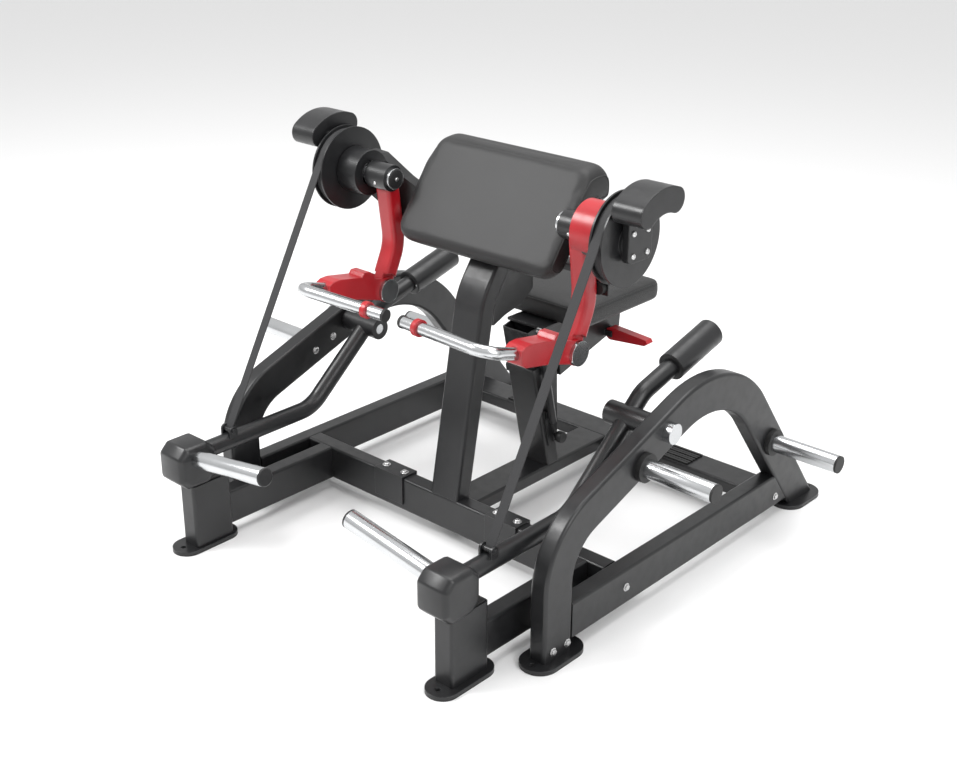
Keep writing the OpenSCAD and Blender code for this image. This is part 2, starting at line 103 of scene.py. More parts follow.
def edge_mask(tree, radius):
    """A normal that rounds the edges, and a mask that is 1 along them."""
    bevel = tree.nodes.new("ShaderNodeBevel")
    bevel.samples = 4
    bevel.inputs["Radius"].default_value = radius
    geometry = tree.nodes.new("ShaderNodeNewGeometry")
    dot = tree.nodes.new("ShaderNodeVectorMath")
    dot.operation = "DOT_PRODUCT"
    tree.links.new(bevel.outputs["Normal"], dot.inputs[0])
    tree.links.new(geometry.outputs["Normal"], dot.inputs[1])
    return bevel.outputs["Normal"], ramp(tree, dot.outputs["Value"], 0.99, 0.8, 0, 1)


def start(name):
    """A new material, its tree, its shader and its object coordinates."""
    made = bpy.data.materials.new(name)
    made.use_nodes = True
    tree = made.node_tree
    coords = tree.nodes.new("ShaderNodeTexCoord").outputs["Object"]
    return made, tree, tree.nodes["Principled BSDF"], coords


def bump(tree, height, strength, distance, normal=None):
    made = node(tree, "ShaderNodeBump", Strength=strength, Distance=distance)
    tree.links.new(height, made.inputs["Height"])
    if normal:
        tree.links.new(normal, made.inputs["Normal"])
    return made.outputs["Normal"]


def paint(name, base, rough, edge=0.0025, edge_wear_and_highlight_gain=1.5, coat=0.0):
    made, tree, shader, coords = start(name)
    shader.inputs["Coat Weight"].default_value = coat
    shader.inputs["Coat Roughness"].default_value = 0.2
    soft_normal, mask = edge_mask(tree, edge)
    dark = tuple(c * 0.85 for c in base)
    light = tuple(c * 1.15 for c in base)
    tone = mix(tree, ramp(tree, noise(tree, coords, 7), 0.35, 0.65, 0, 1), dark, light)
    # Edges are painted lighter: partly edge wear, partly a painted highlight along them.
    edge_wear_and_highlight = tree.nodes.new("ShaderNodeMath")
    edge_wear_and_highlight.operation = "MULTIPLY"
    tree.links.new(mask, edge_wear_and_highlight.inputs[0])
    tree.links.new(ramp(tree, noise(tree, coords, 60), 0.35, 0.6, 0.25, 0.8), edge_wear_and_highlight.inputs[1])
    wear_and_highlight_colour = tuple(min(1, c * edge_wear_and_highlight_gain + 0.01) for c in base)
    tree.links.new(mix(tree, edge_wear_and_highlight.outputs[0], tone, wear_and_highlight_colour), shader.inputs["Base Color"])
    tree.links.new(ramp(tree, noise(tree, coords, 35), 0.3, 0.7, rough - 0.05, rough + 0.07),
                   shader.inputs["Roughness"])
    peel = noise(tree, coords, 1100, 1)
    tree.links.new(bump(tree, peel, 0.12, 0.0004, soft_normal), shader.inputs["Normal"])
    return made


def plated(name, base, rough, edge=0.0015):
    made, tree, shader, coords = start(name)
    shader.inputs["Metallic"].default_value = 1.0
    soft_normal, _ = edge_mask(tree, edge)
    dark = tuple(c * 0.93 for c in base)
    tree.links.new(mix(tree, ramp(tree, noise(tree, coords, 14), 0.3, 0.7, 0, 1), dark, base),
                   shader.inputs["Base Color"])
    hazy = noise(tree, coords, 22, 3)
    tree.links.new(ramp(tree, hazy, 0.3, 0.75, rough, rough + 0.06), shader.inputs["Roughness"])
    tree.links.new(bump(tree, noise(tree, coords, 1500, 1), 0.01, 0.0001, soft_normal),
                   shader.inputs["Normal"])
    return made


def rubbery(name, base, rough, edge=0.002):
    made, tree, shader, coords = start(name)
    soft_normal, _ = edge_mask(tree, edge)
    light = tuple(c * 1.5 for c in base)
    tree.links.new(mix(tree, ramp(tree, noise(tree, coords, 25), 0.35, 0.7, 0, 1), base, light),
                   shader.inputs["Base Color"])
    fine = noise(tree, coords, 900, 2)
    tree.links.new(ramp(tree, fine, 0.2, 0.8, rough - 0.06, rough + 0.08), shader.inputs["Roughness"])
    tree.links.new(bump(tree, fine, 0.25, 0.0004, soft_normal), shader.inputs["Normal"])
    return made


def hide(name, base):
    made, tree, shader, coords = start(name)
    shader.inputs["Sheen Weight"].default_value = 0.03
    shader.inputs["Sheen Roughness"].default_value = 0.5
    grain = node(tree, "ShaderNodeTexVoronoi", Scale=620, Randomness=0.9)
    grain.feature = "DISTANCE_TO_EDGE"
    tree.links.new(coords, grain.inputs["Vector"])
    creases = ramp(tree, grain.outputs["Distance"], 0.0, 0.12, 0, 1)
    dark = tuple(c * 0.72 for c in base)
    tone = mix(tree, creases, dark, base)
    cloudy = ramp(tree, noise(tree, coords, 9, 3), 0.3, 0.7, 0, 1)
    light = tuple(c * 1.12 for c in base)
    tree.links.new(mix(tree, cloudy, tone, light), shader.inputs["Base Color"])
    tree.links.new(ramp(tree, creases, 0, 1, 0.6, 0.44), shader.inputs["Roughness"])
    soft = bump(tree, noise(tree, coords, 55, 3), 0.12, 0.0012)
    tree.links.new(bump(tree, creases, 0.35, 0.0003, soft), shader.inputs["Normal"])
    return made


def webbing(name, base):
    made, tree, shader, coords = start(name)
    across = node(tree, "ShaderNodeTexWave", Scale=170, Distortion=0.3)
    across.bands_direction = "X"
    along = node(tree, "ShaderNodeTexWave", Scale=110, Distortion=0.3)
    along.bands_direction = "Z"
    for wave in (across, along):
        tree.links.new(coords, wave.inputs["Vector"])
    cells = tree.nodes.new("ShaderNodeMath")
    cells.operation = "MULTIPLY"
    tree.links.new(across.outputs["Fac"], cells.inputs[0])
    tree.links.new(along.outputs["Fac"], cells.inputs[1])
    dark = tuple(c * 0.6 for c in base)
    tree.links.new(mix(tree, cells.outputs[0], dark, base), shader.inputs["Base Color"])
    shader.inputs["Roughness"].default_value = 0.7
    tree.links.new(bump(tree, cells.outputs[0], 0.5, 0.0004), shader.inputs["Normal"])
    return made


DARK_TONE = (0.0095, 0.0097, 0.0105)
RED_TONE = (0.38, 0.006, 0.012)
# Each paint's edges are lightened by the given factor, as edge wear and a painted highlight.
CHARCOAL = paint("charcoal_paint", DARK_TONE, 0.33, edge_wear_and_highlight_gain=2.4)
RED = paint("red_paint", RED_TONE, 0.33, edge_wear_and_highlight_gain=1.2, coat=0.2)
SOFT_RED = paint("cast_red_paint", RED_TONE, 0.33, edge=0.007, edge_wear_and_highlight_gain=1.1, coat=0.2)
SOFT_BLACK = paint("cast_charcoal_paint", DARK_TONE, 0.33, edge=0.005, edge_wear_and_highlight_gain=1.8)
CHROME = plated("chrome_plate", (0.6, 0.61, 0.62), 0.17)
STEEL = plated("turned_steel", (0.6, 0.6, 0.61), 0.22)
ZINC = plated("zinc_bolts", (0.62, 0.62, 0.62), 0.25, 0.0008)
RUBBER = rubbery("moulded_rubber", (0.007, 0.007, 0.007), 0.55)
PLASTIC = rubbery("black_plastic", (0.01, 0.01, 0.0105), 0.4)
HIDE = hide("pad_hide", (0.0085, 0.0085, 0.0088))
SEAM = hide("seam_hide", (0.009, 0.009, 0.0093))
BELT = webbing("belt_webbing", (0.034, 0.034, 0.036))

BY_SLOT = {"frame_paint": CHARCOAL, "red_paint": RED, "chrome": CHROME, "steel": STEEL,
           "rubber": RUBBER, "hide": HIDE, "webbing": BELT}
SLOT_OF = {s["node"]: s["material_slot"] for s in frame["record"]["subparts"]}
for name, part in NODES.items():
    part.data.materials.clear()
    part.data.materials.append(BY_SLOT[SLOT_OF[name]])
    if name.endswith(("_arm", "_handle_carrier")) and SLOT_OF[name] == "red_paint":
        part.data.materials[0] = SOFT_RED
    if name.endswith("_counterweight"):
        part.data.materials[0] = SOFT_BLACK


# ---- mesh helpers ----------------------------------------------------------------------------------

def mesh_piece(name, verts, faces, material, body, slot, smooth=35):
    data = bpy.data.meshes.new(name)
    data.from_pydata([tuple(v) for v in verts], [], faces)
    data.update()
    work = bmesh.new()
    work.from_mesh(data)
    bmesh.ops.remove_doubles(work, verts=work.verts, dist=1e-6)
    bmesh.ops.recalc_face_normals(work, faces=work.faces)
    work.to_mesh(data)
    work.free()
    piece = bpy.data.objects.new(name, data)
    scene.collection.objects.link(piece)
    data.materials.append(material)
    finish_piece(piece, body, smooth)
    return piece


def finish_piece(piece, body, smooth=35):
    """Shades a piece smooth, with edges sharper than smooth degrees kept, and puts it on its body."""
    piece.data.shade_smooth()
    if smooth is not None:
        piece.data.set_sharp_from_angle(angle=math.radians(smooth))
    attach(piece, body)


def basis(axis):
    w = Vector(axis).normalized()
    helper = Vector((0, 0, 1)) if abs(w.z) < 0.9 else Vector((1, 0, 0))
    u = w.cross(helper).normalized()
    return u, w.cross(u), w


def skin(rings, count, ends="capped"):
    """Faces between rings of count points each. ends is capped, open, or closed for a loop."""
    faces = []
    for k in range(rings if ends == "closed" else rings - 1):
        m = (k + 1) % rings
        for i in range(count):
            j = (i + 1) % count
            faces.append((k * count + i, k * count + j, m * count + j, m * count + i))
    if ends == "capped":
        faces.append(tuple(range(count)))
        faces.append(tuple((rings - 1) * count + i for i in reversed(range(count))))
    return faces


def lathe(profile, at, axis, count=64, flats=None):
    """Turns (radius, height) pairs about an axis; flats gives a regular prism instead."""
    u, v, w = basis(axis)
    turns = flats or count
    verts = []
    for radius, height in profile:
        for i in range(turns):
            a = 2 * math.pi * i / turns
            verts.append(Vector(at) + w * height + (u * math.cos(a) + v * math.sin(a)) * radius)
    return verts, skin(len(profile), turns)


def join(parts):
    verts, faces = [], []
    for vs, fs in parts:
        shift = len(verts)
        verts += list(vs)
        faces += [tuple(i + shift for i in f) for f in fs]
    return verts, faces


def bolt(at, axis, size=8 * MM, washer=True):
    """A button-head bolt with a hex socket, on a round washer if it has one."""
    parts = []
    rise = 0.0
    if washer:
        parts.append(lathe([(size * 1.45, 0), (size * 1.5, size * 0.06), (size * 1.5, size * 0.2),
                            (size * 1.42, size * 0.26)], at, axis, 40))
        rise = size * 0.24
    base = Vector(at) + Vector(axis).normalized() * rise
    dome = [(size, 0), (size, size * 0.22), (size * 0.94, size * 0.42),
            (size * 0.8, size * 0.56), (size * 0.56, size * 0.64)]
    parts.append(lathe(dome, base, axis, 40))
    parts.append(lathe([(size * 0.46, 0), (size * 0.46, size * 0.67), (size * 0.42, size * 0.67),
                        (size * 0.4, size * 0.4)], base, axis, flats=6))
    return join(parts)


def hex_bolt(at, axis, size=8 * MM):
    """A hex-head bolt on a round washer."""
    washer = lathe([(size * 1.35, 0), (size * 1.38, size * 0.05), (size * 1.38, size * 0.18),
                    (size * 1.3, size * 0.22)], at, axis, 40)
    base = Vector(at) + Vector(axis).normalized() * size * 0.2
    head = lathe([(size * 1.05, 0), (size * 1.08, size * 0.06), (size * 1.08, size * 0.42),
                  (size * 0.95, size * 0.55), (size * 0.6, size * 0.57)], base, axis, flats=6)
    return join([washer, head])


def sweep(points, radius, closed=False, sides=10):
    """A round tube along points."""
    pts = [Vector(p) for p in points]
    n = len(pts)
    verts = []
    normal = None
    for i, p in enumerate(pts):
        ahead = pts[(i + 1) % n] if closed or i < n - 1 else p
        behind = pts[i - 1] if closed or i > 0 else p
        tangent = (ahead - behind).normalized()
        if normal is None:
            normal = basis(tangent)[0]
        normal = (normal - tangent * normal.dot(tangent)).normalized()
        other = tangent.cross(normal)
        for k in range(sides):
            a = 2 * math.pi * k / sides
            verts.append(p + (normal * math.cos(a) + other * math.sin(a)) * radius)
    return verts, skin(n, sides, "closed" if closed else "capped")


def rounded(corners, per_corner=8):
    """A closed 2-D outline with round corners from (x, y, radius) triples."""
    out = []
    n = len(corners)
    for i, (x, y, radius) in enumerate(corners):
        here = Vector((x, y))
        before = Vector(corners[i - 1][:2]) - here
        after = Vector(corners[(i + 1) % n][:2]) - here
        half = before.angle(after) / 2
        reach = min(radius / math.tan(half), before.length * 0.49, after.length * 0.49)
        start_at = here + before.normalized() * reach
        end_at = here + after.normalized() * reach
        for k in range(per_corner + 1):
            t = k / per_corner
            out.append(start_at * (1 - t) ** 2 + here * 2 * t * (1 - t) + end_at * t ** 2)
    return out


def spaced(outline, count):
    """The same closed outline, as points an equal way apart."""
    n = len(outline)
    lengths = [(outline[(i + 1) % n] - outline[i]).length for i in range(n)]
    total = sum(lengths)
    out, i, gone = [], 0, 0.0
    for k in range(count):
        want = total * k / count
        while gone + lengths[i] < want:
            gone += lengths[i]
            i += 1
        t = (want - gone) / max(lengths[i], 1e-9)
        out.append(outline[i].lerp(outline[(i + 1) % n], t))
    return out


def inset(outline, amount):
    """The outline, drawn in by amount, whichever way round it runs."""
    n = len(outline)
    area = sum(outline[i].x * outline[(i + 1) % n].y - outline[(i + 1) % n].x * outline[i].y
               for i in range(n))
    way = 1 if area > 0 else -1
    out = []
    for i in range(n):
        t = (outline[(i + 1) % n] - outline[i - 1]).normalized()
        out.append(outline[i] + Vector((-t.y, t.x)) * amount * way)
    return out


def rect_corners(w, d, r, cx=0, cy=0):
    return [(cx - w / 2, cy - d / 2, r), (cx + w / 2, cy - d / 2, r),
            (cx + w / 2, cy + d / 2, r), (cx - w / 2, cy + d / 2, r)]


# ---- cushions ----------------------------------------------------------------------------------------

VOXEL = 0.0065
PRESSURE = 4
CLOTH_FRAMES = 14
MOVE_CAP = 0.006
PUFF_LOW, PUFF_HIGH = -0.0005, 0.0022
PUFF_SHARE = 0.3
PUFF_BASE = 0.0008
WELT = 0.0019


def smoothed(piece, iterations, factor):
    smooth = piece.modifiers.new("smooth", "SMOOTH")
    smooth.iterations = iterations
    smooth.factor = factor
    bpy.ops.object.modifier_apply(modifier="smooth")


def cushion(name, verts, faces, body, node_name, crown, keep_flat=None):
    """Remeshes a closed form, blows it up with cloth pressure and lays it back near the form.

    Remeshing and smoothing draw the mesh in, so each point goes back to the form itself, plus a
    small share of its move and the crown.
    """
    data = bpy.data.meshes.new(name)
    data.from_pydata([tuple(v) for v in verts], [], faces)
    work = bmesh.new()
    work.from_mesh(data)
    bmesh.ops.recalc_face_normals(work, faces=work.faces)
    work.to_mesh(data)
    work.free()
    piece = bpy.data.objects.new(name, data)
    scene.collection.objects.link(piece)
    bpy.context.view_layer.objects.active = piece
    piece.select_set(True)
    remesh = piece.modifiers.new("remesh", "REMESH")
    remesh.mode = "VOXEL"
    remesh.voxel_size = VOXEL
    bpy.ops.object.modifier_apply(modifier="remesh")
    rest = [v.co.copy() for v in piece.data.vertices]
    cloth = piece.modifiers.new("cloth", "CLOTH")
    cloth.settings.use_pressure = True
    cloth.settings.uniform_pressure_force = PRESSURE
    cloth.settings.effector_weights.gravity = 0
    cloth.settings.quality = 5
    cloth.point_cache.frame_end = CLOTH_FRAMES
    for step in range(1, CLOTH_FRAMES + 1):
        scene.frame_set(step)
    evaluated = piece.evaluated_get(bpy.context.evaluated_depsgraph_get())
    puffed = [v.co.copy() for v in evaluated.data.vertices]
    piece.modifiers.remove(cloth)
    scene.frame_set(1)
    for v, a, b in zip(piece.data.vertices, rest, puffed):
        move = b - a
        if move.length > MOVE_CAP:
            move = move * (MOVE_CAP / move.length)
        share = keep_flat(a) if keep_flat else 1.0
        v.co = a + move * share
    smoothed(piece, 5, 0.5)
    true_form = BVHTree.FromPolygons([Vector(v) for v in verts], faces)
    for v, a in zip(piece.data.vertices, rest):
        near = true_form.find_nearest(a)[0]
        puff = (v.co - a).dot(v.normal) * PUFF_SHARE + PUFF_BASE
        puff = max(PUFF_LOW, min(PUFF_HIGH, puff))
        v.co = near + v.normal * (puff + crown(near))
    smoothed(piece, 1, 0.4)
    piece.modifiers.new("finer", "SUBSURF").levels = 1
    bpy.ops.object.modifier_apply(modifier="finer")
    piece.select_set(False)
    piece.data.materials.append(HIDE)
    finish_piece(piece, body, None)
    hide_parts(node_name)
    return piece


def seam(name, piece, loops, radius, body):
    """Thin welts laid on a cushion's surface."""
    tree = BVHTree.FromObject(piece, bpy.context.evaluated_depsgraph_get())
    parts = []
    for loop in loops:
        laid = []
        for p in loop:
            found = tree.find_nearest(Vector(p))
            laid.append(found[0] + found[1] * radius * 0.25)
        for again in range(3):
            laid = [(laid[i - 1] + laid[i] * 2 + laid[(i + 1) % len(laid)]) / 4
                    for i in range(len(laid))]
        parts.append(sweep(laid, radius, closed=True, sides=8))
    verts, faces = join(parts)
    return mesh_piece(name, verts, faces, SEAM, body, "hide")


LEAN = math.radians(35.6)
UP = Vector((math.sin(LEAN), math.cos(LEAN)))
OFF = Vector((math.cos(LEAN), -math.sin(LEAN)))
FACE = Vector((-118.0, 808.0))
PAD_HALF = 269.5
CORNER = 42.0
LIMB = (78.0, 126.0)
LIMB_LOW = 948
FOLD_Z = 975.0
TOP_Z = 1047.0
PAD_POINTS = 150
SOFT_EDGE = 13.0
END_RINGS = 8


def pad_section():
    """The arm pad from the side, in mm: the sloping face and the short limb over its top."""
    low = FACE + OFF * 52
    front = FACE + UP * 290
    corners = [(FACE.x, FACE.y, 22), (front.x, front.y, 34), (LIMB[1], TOP_Z + 4, 46),
               (LIMB[1], LIMB_LOW, 16), (LIMB[0] + 1, LIMB_LOW, 16), (LIMB[0] + 1, FOLD_Z, 4),
               (low.x, low.y, 30)]
    return spaced(rounded(corners), PAD_POINTS)


def pad_ring(shift):
    """The section with its lower and upper ends drawn in by shift, for the round corners."""
    out = []
    for p in pad_section():
        up = (p - FACE).dot(UP)
        q = p.copy()
        if up < 110 and p.x < LIMB[0]:
            q = q + UP * shift * (1 - max(up, 0) / 110)
        if p.y > 985:
            q.y -= shift * min(1, (p.y - 985) / 60)
        if p.x > LIMB[0] - 2 and p.y < 985:
            q.y += shift * 0.6 * (985 - p.y) / 37
        out.append(q)
    return out


def arm_pad():
    half = [PAD_HALF - CORNER * (1 - math.cos(math.pi / 2 * k / END_RINGS))
            for k in range(END_RINGS + 1)]
    xs = [-x for x in half] + [0.0] + list(reversed(half))
    verts = []
    for x in xs:
        depth = PAD_HALF - abs(x)
        t = max(0.0, CORNER - depth)
        shift = CORNER - math.sqrt(max(0.0, CORNER ** 2 - t ** 2))
        e = max(0.0, SOFT_EDGE - depth)
        draw = SOFT_EDGE - math.sqrt(max(0.0, SOFT_EDGE ** 2 - e ** 2))
        ring = inset(pad_ring(shift), 0.3 + draw)
        verts += [Vector((x, p.x, p.y)) * MM for p in ring]

    def crown(p):
        side = max(0.0, 1 - abs(p.x) / 0.27)
        return 0.003 * math.sin(math.pi / 2 * min(1.0, side * 2.2))

    piece = cushion("arm_pad_cover", verts, skin(len(xs), PAD_POINTS), "frame", "arm_pad", crown)
    loops = []
    for x in (-PAD_HALF + 3, PAD_HALF - 3):
        loops.append([Vector((x, p.x, p.y)) * MM for p in inset(pad_ring(CORNER * 0.42), 6)])
    seam("arm_pad_seams", piece, loops, WELT, "frame")


def rect_ring(w, d, r, cx, cy, count):
    return spaced(rounded(rect_corners(w, d, r, cx, cy)), count)


def seat_pad():
    low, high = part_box("seat_pad")
    cx, cy = (low.x + high.x) / 2, (low.y + high.y) / 2
    w, d, h = high.x - low.x - 0.002, high.y - low.y - 0.002, high.z - low.z
    count = 120
    levels = [(0.0, 0.010), (0.004, 0.003), (0.010, 0.0), (0.030, -0.0015), (h - 0.015, 0.0),
              (h - 0.008, 0.0022), (h - 0.004, 0.0075), (h - 0.003, 0.02)]
    verts = []
    for z, draw in levels:
        ring = rect_ring(w - 2 * draw, d - 2 * draw, 0.03, cx, cy, count)
        verts += [Vector((p.x, p.y, low.z + z)) for p in ring]

    def flat_below(p):
        return min(1.0, max(0.0, (p.z - low.z - 0.002) / 0.02))

    def crown(p):
        if p.z < high.z - 0.006:
            return 0.0
        side = max(0.0, 1 - abs(p.x - cx) * 2 / w) * max(0.0, 1 - abs(p.y - cy) * 2 / d)
        return 0.007 * math.sin(math.pi / 2 * min(1.0, side * 2.5))

    piece = cushion("seat_pad_cover", verts, skin(len(levels), count), "seat", "seat_pad", crown,
                    flat_below)
    ring = rect_ring(w - 0.004, d - 0.004, 0.03, cx, cy, 160)
    loop = [Vector((p.x, p.y, high.z - 0.009)) for p in ring]
    seam("seat_pad_seam", piece, [loop], WELT, "seat")


arm_pad()
seat_pad()


# ---- belts -------------------------------------------------------------------------------------------

ELBOW = (-0.087, 0.947)
BELT_TOP = Vector((0, -0.1791, 0.9974))
BELT_DOWN = Vector((0, -0.4801, -0.8772))
BELT_LENGTH = 0.792
BELT_X = 0.477
WRAP_R = 0.105


def strap(path, x, width, thick, name, material, body, slot):
    """A flat strap with slightly rounded edges along a path in the plane of x."""
    n = len(path)
    section = [(-1, -0.6), (-0.96, -1), (0.96, -1), (1, -0.6), (1, 0.6), (0.96, 1), (-0.96, 1),
               (-1, 0.6)]
    verts = []
    for i, p in enumerate(path):
        ahead, behind = path[min(i + 1, n - 1)], path[max(i - 1, 0)]
        t = (ahead - behind).normalized()
        normal = Vector((0, -t.z, t.y))
        for a, b in section:
            verts.append(Vector((x + a * width / 2, p.y, p.z)) + normal * b * thick / 2)
    return mesh_piece(name, verts, skin(n, len(section)), material, body, slot)


def belts():
    """The free run of each belt, which shortens as it is wound, and the turn that lies on the cam."""
    for label, s in SIDES:
        x = s * BELT_X
        run = [BELT_TOP + BELT_DOWN * BELT_LENGTH * k / 40 for k in range(41)]
        belt = strap(run, x, 0.027, 0.003, label + "_belt_strap", BELT, label + "_belt", "webbing")
        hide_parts(label + "_belt")
        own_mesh(belt)
        wrap = []
        for k in range(73):
            a = math.radians(30 - 5 * k)
            wrap.append(Vector((0, ELBOW[0] + WRAP_R * math.cos(a), ELBOW[1] + WRAP_R * math.sin(a))))
        strap(wrap, x, 0.0255, 0.0026, label + "_belt_on_cam", BELT, label + "_curl", "webbing")


belts()


# ---- turned and bolted details -------------------------------------------------------------------------

OUTER_X = 0.6
INNER_X = 0.55
OUTER_BOLTS = ((-0.464, 0.036), (-0.411, 0.036), (-0.18, 0.087), (0.521, 0.07))
INNER_BOLTS = ((-0.103, 0.429), (-0.171, 0.404))
SPLICE_X = (0.174, 0.246)
SPLICE_Y = -0.187
CAM_FACE_X = 0.5228
CAM_BOLT_PITCH = 0.0275


def fasteners():
    """Bolts on the rails, arches and splice brackets, and the four in each cam's face."""
    parts = []
    for s in (-1, 1):
        parts += [hex_bolt((s * OUTER_X, y, z), (s, 0, 0)) for y, z in OUTER_BOLTS]
        parts += [hex_bolt((s * INNER_X, y, z), (-s, 0, 0)) for y, z in INNER_BOLTS]
        parts += [bolt((s * x, SPLICE_Y, 0.142), (0, 0, 1)) for x in SPLICE_X]
        parts.append(hex_bolt((s * SPLICE_X[0], SPLICE_Y, 0.037), (0, 0, -1), 9 * MM))
    piece = mesh_piece("hex_bolts", *join(parts), ZINC, "frame", "chrome")
    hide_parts("frame_bolts")
    for label, s in SIDES:
        places = [(s * CAM_FACE_X, ELBOW[0] + a * CAM_BOLT_PITCH, ELBOW[1] + b * CAM_BOLT_PITCH)
                  for a in (-1, 1) for b in (-1, 1)]
        parts = [bolt(place, (s, 0, 0), 7.5 * MM, False) for place in places]
        piece = mesh_piece(label + "_button_bolts", *join(parts), ZINC, label + "_curl", "chrome")
        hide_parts(label + "_cam_bolts")


def end_caps():
    """The cap and screw on each axle's inner end, and the set screw in its sleeve."""
    for label, s in SIDES:
        cap = lathe([(0.0255, 0), (0.0255, 0.0012), (0.0235, 0.0022), (0.006, 0.0024)],
                    (s * 0.2892, *ELBOW), (-s, 0, 0))
        mesh_piece(label + "_axle_cap", *cap, PLASTIC, label + "_curl", "rubber")
        screw = lathe([(0.0055, 0), (0.0055, 0.003), (0.004, 0.0042), (0.0018, 0.0044)],
                      (s * 0.287, *ELBOW), (-s, 0, 0), 32)
        mesh_piece(label + "_axle_screw", *screw, ZINC, label + "_curl", "chrome")
        aim = Vector((0, -math.cos(math.radians(20)), -math.sin(math.radians(20))))
        place = Vector((s * 0.335, *ELBOW)) + aim * 0.0352
        mesh_piece(label + "_set_screw", *bolt(place, aim, 5.5 * MM, False), ZINC, label + "_curl",
                   "chrome")


def hubs():
    """Heavily bevelled octagonal blocks in place of the plain ones."""
    for label, s in SIDES:
        low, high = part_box(label + "_weight_hub")
        centre = (low + high) / 2
        half = (high.z - low.z) / 2
        corner = half * 0.42
        flat = [(-half, -half + corner), (-half + corner, -half), (half - corner, -half),
                (half, -half + corner), (half, half - corner), (half - corner, half),
                (-half + corner, half), (-half, half - corner)]
        outline = rounded([(a, b, 0.012) for a, b in flat], 5)
        rings = [(low.x, 0.015), (low.x + 0.002, 0.0085), (low.x + 0.007, 0.003),
                 (low.x + 0.014, 0.0), (high.x - 0.014, 0.0), (high.x - 0.007, 0.003),
                 (high.x - 0.002, 0.0085), (high.x, 0.015)]
        verts = []
        for x, draw in rings:
            grow = 1 - draw / half
            verts += [Vector((x, centre.y + p.x * grow, centre.z + p.y * grow)) for p in outline]
        piece = mesh_piece(label + "_hub_block", verts, skin(len(rings), len(outline)), CHARCOAL,
                           label + "_weight", "frame_paint", 50)
        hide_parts(label + "_weight_hub")


def arc_corner(a, corner, b, radius, count=14):
    """Points from a to b round a corner, on a circle of that radius."""
    into, out = (corner - a).normalized(), (b - corner).normalized()
    turn = into.angle(out)
    reach = radius * math.tan(turn / 2)
    first = corner - into * reach
    side = (out - into * out.dot(into)).normalized()
    centre = first + side * radius
    points = [a]
    for k in range(count + 1):
        angle = turn * k / count
        points.append(centre - side * radius * math.cos(angle) + into * radius * math.sin(angle))
    points.append(b)
    return points


HORN_R = 0.0245
GRIP_R = 0.016


def chrome_tubes():
    """Storage pegs on the arches, load pegs on the weight hubs, and the bent handle bars."""
    parts = []
    for s in (-1, 1):
        for y, z in ((-0.132, 0.405), (0.472, 0.259)):
            parts.append(lathe([(HORN_R, 0), (HORN_R, 0.189), (0.0238, 0.1908), (0.02, 0.191)],
                               (s * 0.614, y, z), (s, 0, 0), 96))
    piece = mesh_piece("storage_pegs", *join(parts), CHROME, "frame", "chrome")
    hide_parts("storage_horns")
    tilt = math.radians(17)
    for label, s in SIDES:
        slope = math.radians(9)
        axis = Vector((-s * math.cos(slope), 0, math.sin(slope)))
        base = Vector((s * 0.442, -0.696, 0.279))
        peg = lathe([(HORN_R, 0.008), (HORN_R, 0.2835), (0.0232, 0.287), (0.019, 0.287)],
                    base, axis, 96)
        piece = mesh_piece(label + "_load_peg", *peg, CHROME, label + "_weight", "chrome")
        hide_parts(label + "_weight_horn")
        tip = lathe([(0.0243, 0), (0.0243, 0.003), (0.022, 0.005), (0.006, 0.0055)],
                    base + axis * 0.2868, axis, 64)
        mesh_piece(label + "_load_peg_cap", *tip, PLASTIC, label + "_weight", "rubber")

        def on_grip(x, y):
            return Vector((s * x, -0.416 + y * math.cos(tilt), 0.714 - y * math.sin(tilt)))

        path = arc_corner(on_grip(0.337, 0.112), on_grip(0.337, 0), on_grip(0.036, 0.033), 0.048)
        tube = mesh_piece(label + "_handle_bar", *sweep(path, GRIP_R, sides=48), CHROME,
                          label + "_handle", "chrome", 45)
        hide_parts(label + "_handle_tube")


def seat_details():
    """Guide collar on top of the seat post, its guide bolts and knob, and the gas strut's eye."""
    lean = math.radians(13)
    foot = Vector((0, 0.2, 0.1075))
    up = Vector((0, -math.sin(lean), math.cos(lean)))
    back = Vector((0, math.cos(lean), math.sin(lean)))
    verts = []
    outer = rounded(rect_corners(108, 58, 6), 6)
    inner = rounded(rect_corners(95.2, 45.2, 3), 6)
    stack = [(outer, 308, 0), (outer, 326, 0), (outer, 331, -2), (outer, 333, -4), (inner, 333, 0),
             (inner, 331, 0)]
    for ring, height, grow in stack:
        for p in ring:
            q = p * (1 + grow / 60)
            verts.append(foot + Vector((q.x, 0, 0)) * MM + back * q.y * MM + up * height * MM)
    mesh_piece("seat_post_collar", verts, skin(len(stack), len(outer), "open"), PLASTIC, "frame",
               "rubber")
    parts = [bolt((0.05, y, z), (1, 0, 0), 6 * MM, False)
             for y, z in ((0.166, 0.342), (0.172, 0.294))]
    mesh_piece("guide_bolts", *join(parts), ZINC, "frame", "chrome")
    knob = lathe([(0.006, 0), (0.006, 0.014), (0.015, 0.016), (0.017, 0.02), (0.017, 0.034),
                  (0.0145, 0.038), (0.004, 0.0385)], (0.05, 0.196, 0.2), (1, 0, 0), 48)
    mesh_piece("seat_post_knob", *knob, PLASTIC, "frame", "rubber")
    eye = join([lathe([(0.0085, -0.006), (0.0085, 0.006)], (0.068, 0.1015, 0.551), (1, 0, 0), 40),
                bolt((0.0745, 0.1015, 0.551), (1, 0, 0), 5 * MM, False)])
    mesh_piece("gas_strut_eye", *eye, ZINC, "seat", "chrome")


